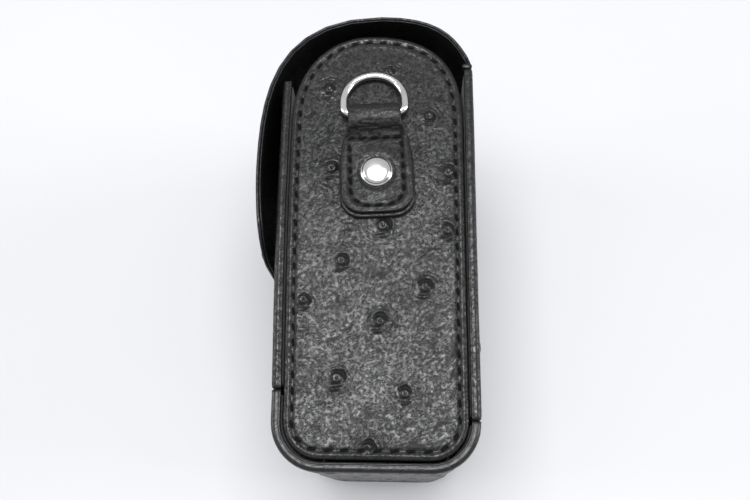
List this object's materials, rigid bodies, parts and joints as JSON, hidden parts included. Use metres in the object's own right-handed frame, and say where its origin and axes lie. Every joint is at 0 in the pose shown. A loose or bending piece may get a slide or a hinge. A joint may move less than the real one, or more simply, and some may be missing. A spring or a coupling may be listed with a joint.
{
  "type": "leather ever ready case",
  "caption": "Narrow black leather camera case with arched end panels, a wrap-over front flap and a riveted D-ring strap anchor on each end.",
  "frame": {"origin": "middle of the box's base: the plane that the far strap anchor touches, under the middle of the box in X and Y", "axes": "the case lies on its far end panel: +X from the front wall to the back wall, +Y from the case's bottom to its flap, +Z from the far end panel up to the near end panel"},
  "size_m": [0.056, 0.1196, 0.0933],
  "materials": {
    "black_leather": "black ostrich-grain leather, semi-gloss",
    "strap_leather": "smooth black strap leather, semi-gloss",
    "stiffener": "pressed leather-fibre board",
    "lining": "black brushed suede cloth",
    "nickel": "polished nickel plate",
    "steel": "plain steel washer"
  },
  "bodies": {
    "shell": {"front_panel_leather": "black_leather", "front_panel_board": "stiffener", "front_panel_lining": "lining", "bottom_panel_leather": "black_leather", "bottom_panel_board": "stiffener", "bottom_panel_lining": "lining", "back_panel_leather": "black_leather", "back_panel_board": "stiffener", "back_panel_lining": "lining", "near_end_leather": "black_leather", "near_end_board": "stiffener", "near_end_lining": "lining", "near_strap_tab": "strap_leather", "near_rivet_cap": "nickel", "near_rivet_washer": "steel", "far_end_leather": "black_leather", "far_end_board": "stiffener", "far_end_lining": "lining", "far_strap_tab": "strap_leather", "far_rivet_cap": "nickel", "far_rivet_washer": "steel", "snap_stud": "nickel", "snap_back_washer": "steel"},
    "flap": {"flap_leather": "black_leather", "flap_lining": "lining", "snap_socket": "nickel"},
    "near_ring": {"near_d_ring": "nickel"},
    "far_ring": {"far_d_ring": "nickel"}
  },
  "joints": [
    {"name": "flap_hinge", "type": "hinge", "parent": "shell", "child": "flap", "pos_m": [0.028, 0.0452, 0.04665], "axis": [0, 0, -1], "range_deg": [0, 170]},
    {"name": "near_ring_swing", "type": "hinge", "parent": "shell", "child": "near_ring", "pos_m": [0.00223, 0.02978, 0.09095], "axis": [0.9988, 0.0489, 0], "range_deg": [0, 170]},
    {"name": "far_ring_swing", "type": "hinge", "parent": "shell", "child": "far_ring", "pos_m": [0.00223, 0.02978, 0.00235], "axis": [-0.9988, -0.0489, 0], "range_deg": [0, 170]}
  ]
}
